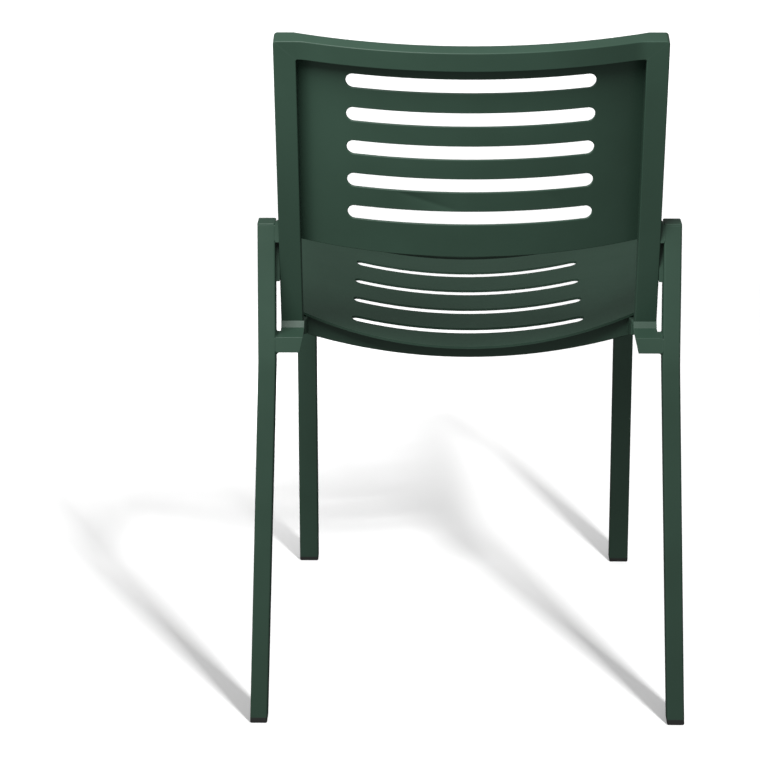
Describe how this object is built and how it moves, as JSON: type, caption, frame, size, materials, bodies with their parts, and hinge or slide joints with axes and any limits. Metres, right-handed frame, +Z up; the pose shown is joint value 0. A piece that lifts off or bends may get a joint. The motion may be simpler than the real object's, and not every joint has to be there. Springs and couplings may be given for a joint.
{
  "type": "stacking chair",
  "caption": "Armless stacking chair of welded, powder-coated aluminium tube with a slotted bowed back panel and a slotted dished seat on four legs.",
  "frame": {"origin": "On the floor, at the centre of the chair's footprint.", "axes": "Z up from the floor. The chair faces -Y, so the back is on the +Y side. X runs across the seat and +X is the sitter's left."},
  "size_m": [0.5058, 0.5729, 0.8112],
  "materials": {
    "powder_coat": "satin",
    "glide_plastic": "matte"
  },
  "bodies": {
    "root": {"back_top_rail": "powder_coat", "back_upright_left": "powder_coat", "back_upright_right": "powder_coat", "back_panel": "powder_coat", "seat_panel": "powder_coat", "seat_side_rail_left": "powder_coat", "seat_side_rail_right": "powder_coat", "seat_rear_rail": "powder_coat", "seat_front_rail": "powder_coat", "front_leg_left": "powder_coat", "front_leg_right": "powder_coat", "front_leg_cap_left": "powder_coat", "front_leg_cap_right": "powder_coat", "rear_leg_left": "powder_coat", "rear_leg_right": "powder_coat", "rear_leg_cap_left": "powder_coat", "rear_leg_cap_right": "powder_coat", "leg_bracket_left": "powder_coat", "leg_bracket_right": "powder_coat", "upright_spacer_left": "powder_coat", "upright_spacer_right": "powder_coat", "front_glide_left": "glide_plastic", "front_glide_right": "glide_plastic", "rear_glide_left": "glide_plastic", "rear_glide_right": "glide_plastic", "rear_stacking_pad_left": "glide_plastic", "rear_stacking_pad_right": "glide_plastic", "front_stacking_pad_left": "glide_plastic", "front_stacking_pad_right": "glide_plastic"}
  },
  "joints": []
}
